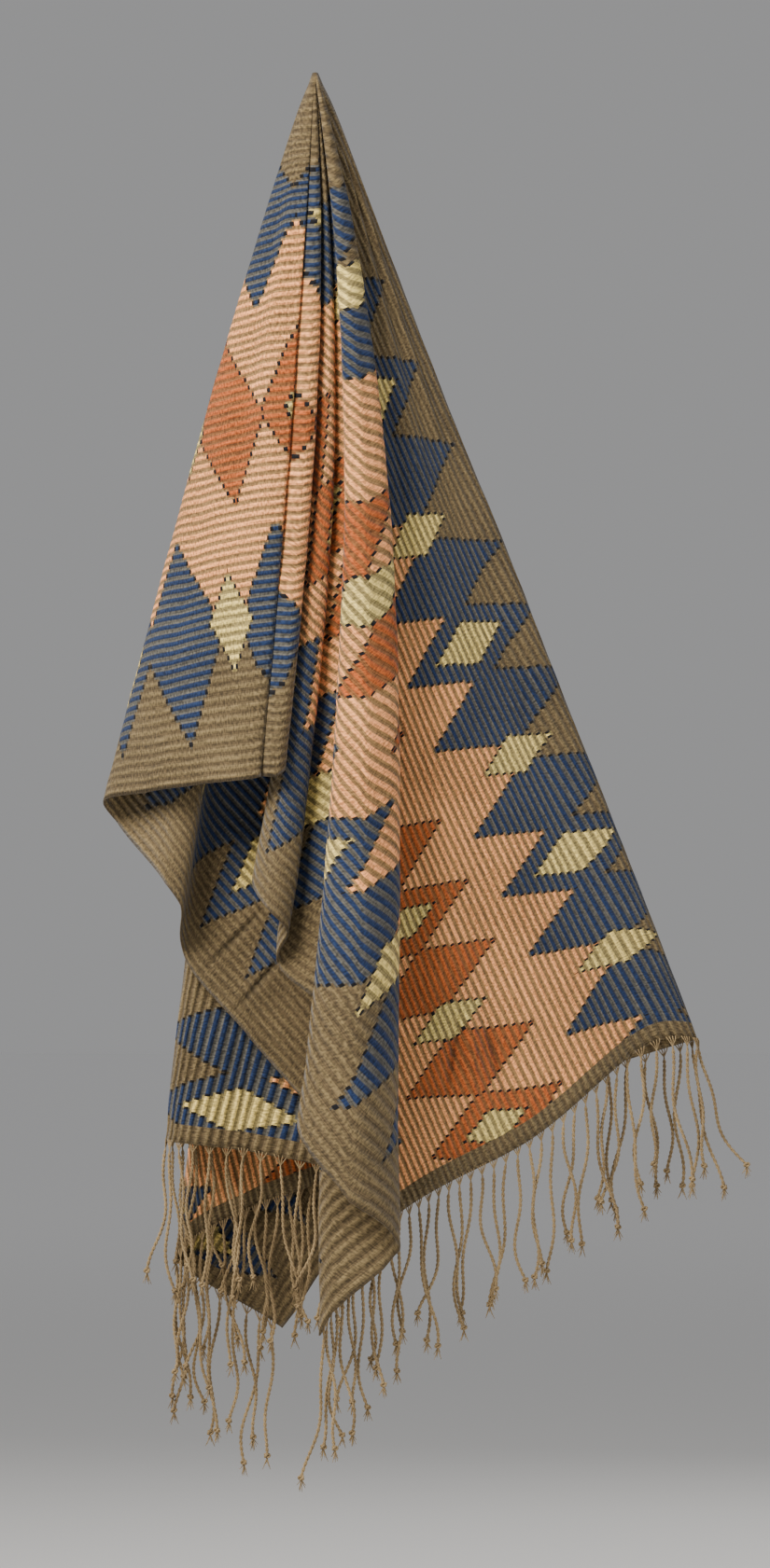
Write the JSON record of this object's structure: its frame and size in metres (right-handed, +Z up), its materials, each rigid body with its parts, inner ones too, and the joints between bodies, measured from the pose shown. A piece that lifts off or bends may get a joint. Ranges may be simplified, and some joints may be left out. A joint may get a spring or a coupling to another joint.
{
  "type": "ikat wall hanging on a nail",
  "caption": "Long handwoven ikat cloth with knotted fringe at both ends, hung by the middle of a long edge from a nail in deep radial folds.",
  "frame": {"origin": "middle of the nail's rear face, on the wall plane", "axes": "+Y into the wall, +Z up, +X to the right as seen from the front"},
  "size_m": [0.6191, 0.2618, 1.3873],
  "materials": {
    "ikat_cloth": "matte ribbed handwoven cotton with stepped ikat diamonds in blue, salmon, rust and pale yellow on taupe",
    "fringe_yarn": "twisted two-ply cotton ends with knots",
    "nail_iron": "dark blued iron"
  },
  "bodies": {
    "root": {"cloth": "ikat_cloth", "right_fringe": "fringe_yarn", "left_fringe": "fringe_yarn", "nail": "nail_iron"}
  },
  "joints": []
}
